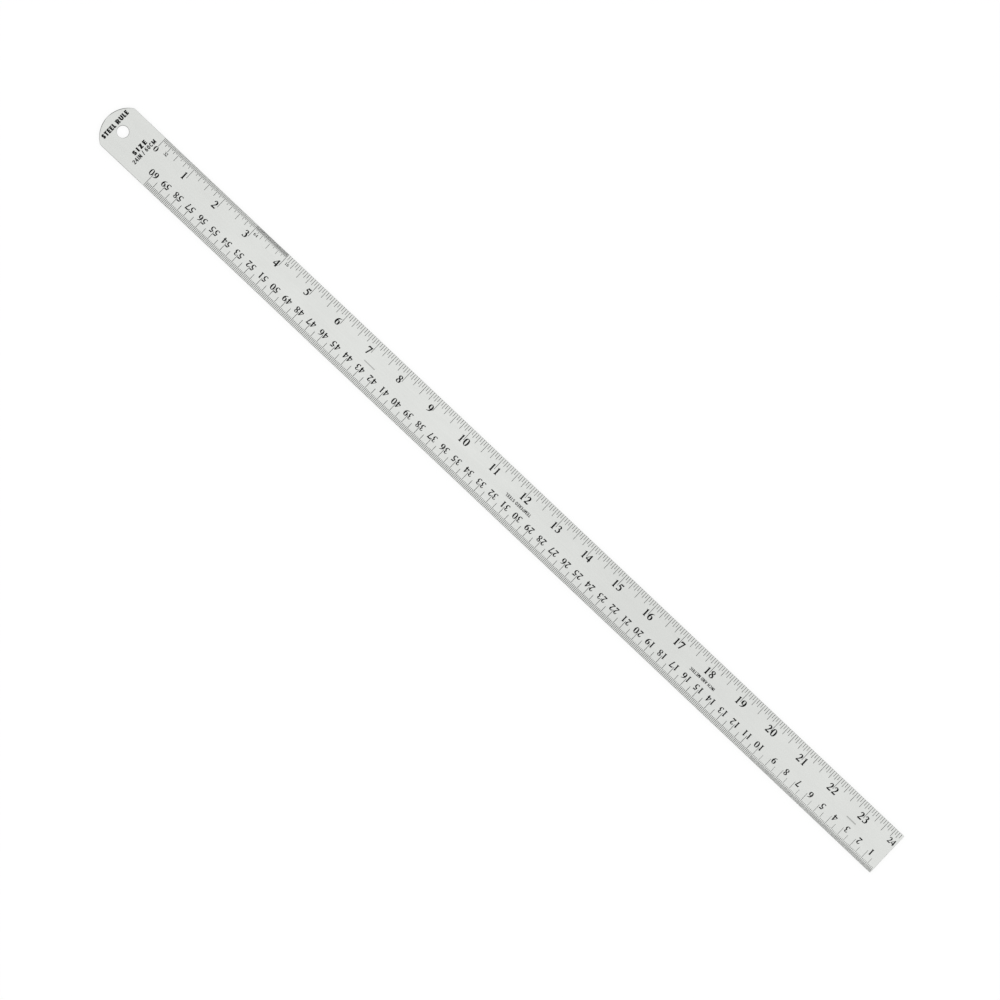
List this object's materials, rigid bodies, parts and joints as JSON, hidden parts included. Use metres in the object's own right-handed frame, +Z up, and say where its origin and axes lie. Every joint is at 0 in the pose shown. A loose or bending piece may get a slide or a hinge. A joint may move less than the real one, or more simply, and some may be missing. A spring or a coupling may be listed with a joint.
{
  "type": "steel ruler",
  "caption": "Long flat steel ruler with a round nose and hanging hole, a cork strip glued underneath, and inch and centimetre scales on its two straight edges.",
  "frame": {"origin": "middle of the cork strip's resting plane, under the middle of the blade's overall length and width", "axes": "+X along the blade from the round hanging end to the square measuring end, +Y across towards the inch edge, +Z up out of the graduated face"},
  "size_m": [0.644, 0.03, 0.0021],
  "materials": {
    "steel": "satin, finely brushed along the length",
    "adhesive": "translucent film, satin",
    "cork": "matte, granular",
    "graduation_fill": "matte black paint filled into shallow etched marks"
  },
  "bodies": {
    "root": {"blade": "steel", "adhesive_film": "adhesive", "cork_strip": "cork"}
  },
  "joints": []
}
